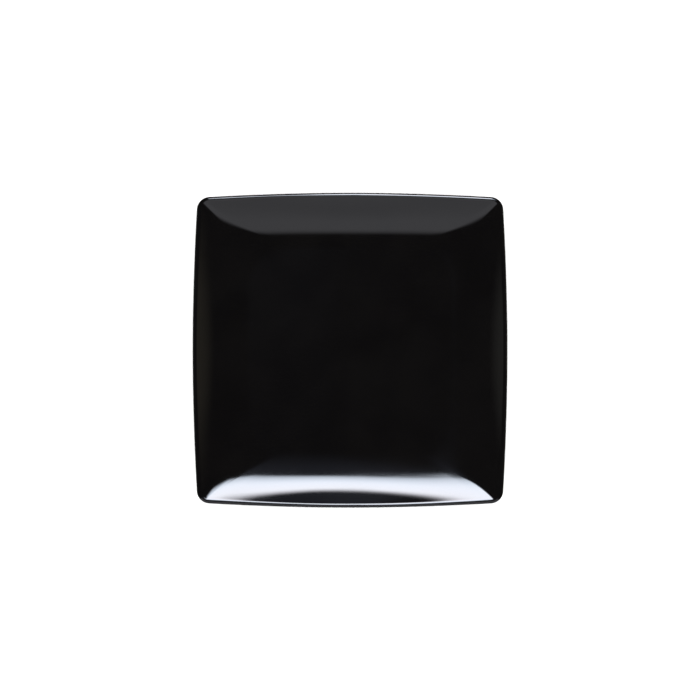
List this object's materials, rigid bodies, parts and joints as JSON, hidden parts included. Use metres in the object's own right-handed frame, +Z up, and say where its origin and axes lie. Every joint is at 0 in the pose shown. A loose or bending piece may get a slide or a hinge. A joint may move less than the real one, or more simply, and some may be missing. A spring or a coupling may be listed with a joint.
{
  "type": "square plate",
  "caption": "Square coupe plate with bowed sides, a flat square floor, walls that curve up to a crowned rim that dips toward the corners, and a low foot ring underneath.",
  "frame": {"origin": "centre of the plate on the table: the middle of the foot ring, in the plane that it stands on", "axes": "+Z up out of the dish; the four sides face +X, -X, +Y and -Y; +X is the picture's right and +Y its top"},
  "size_m": [0.203, 0.203, 0.019],
  "materials": {
    "melamine_body": "satin moulded melamine",
    "melamine_glaze": "high gloss black glaze"
  },
  "bodies": {
    "root": {"plate_body": "melamine_body", "glaze_layer": "melamine_glaze"}
  },
  "joints": []
}
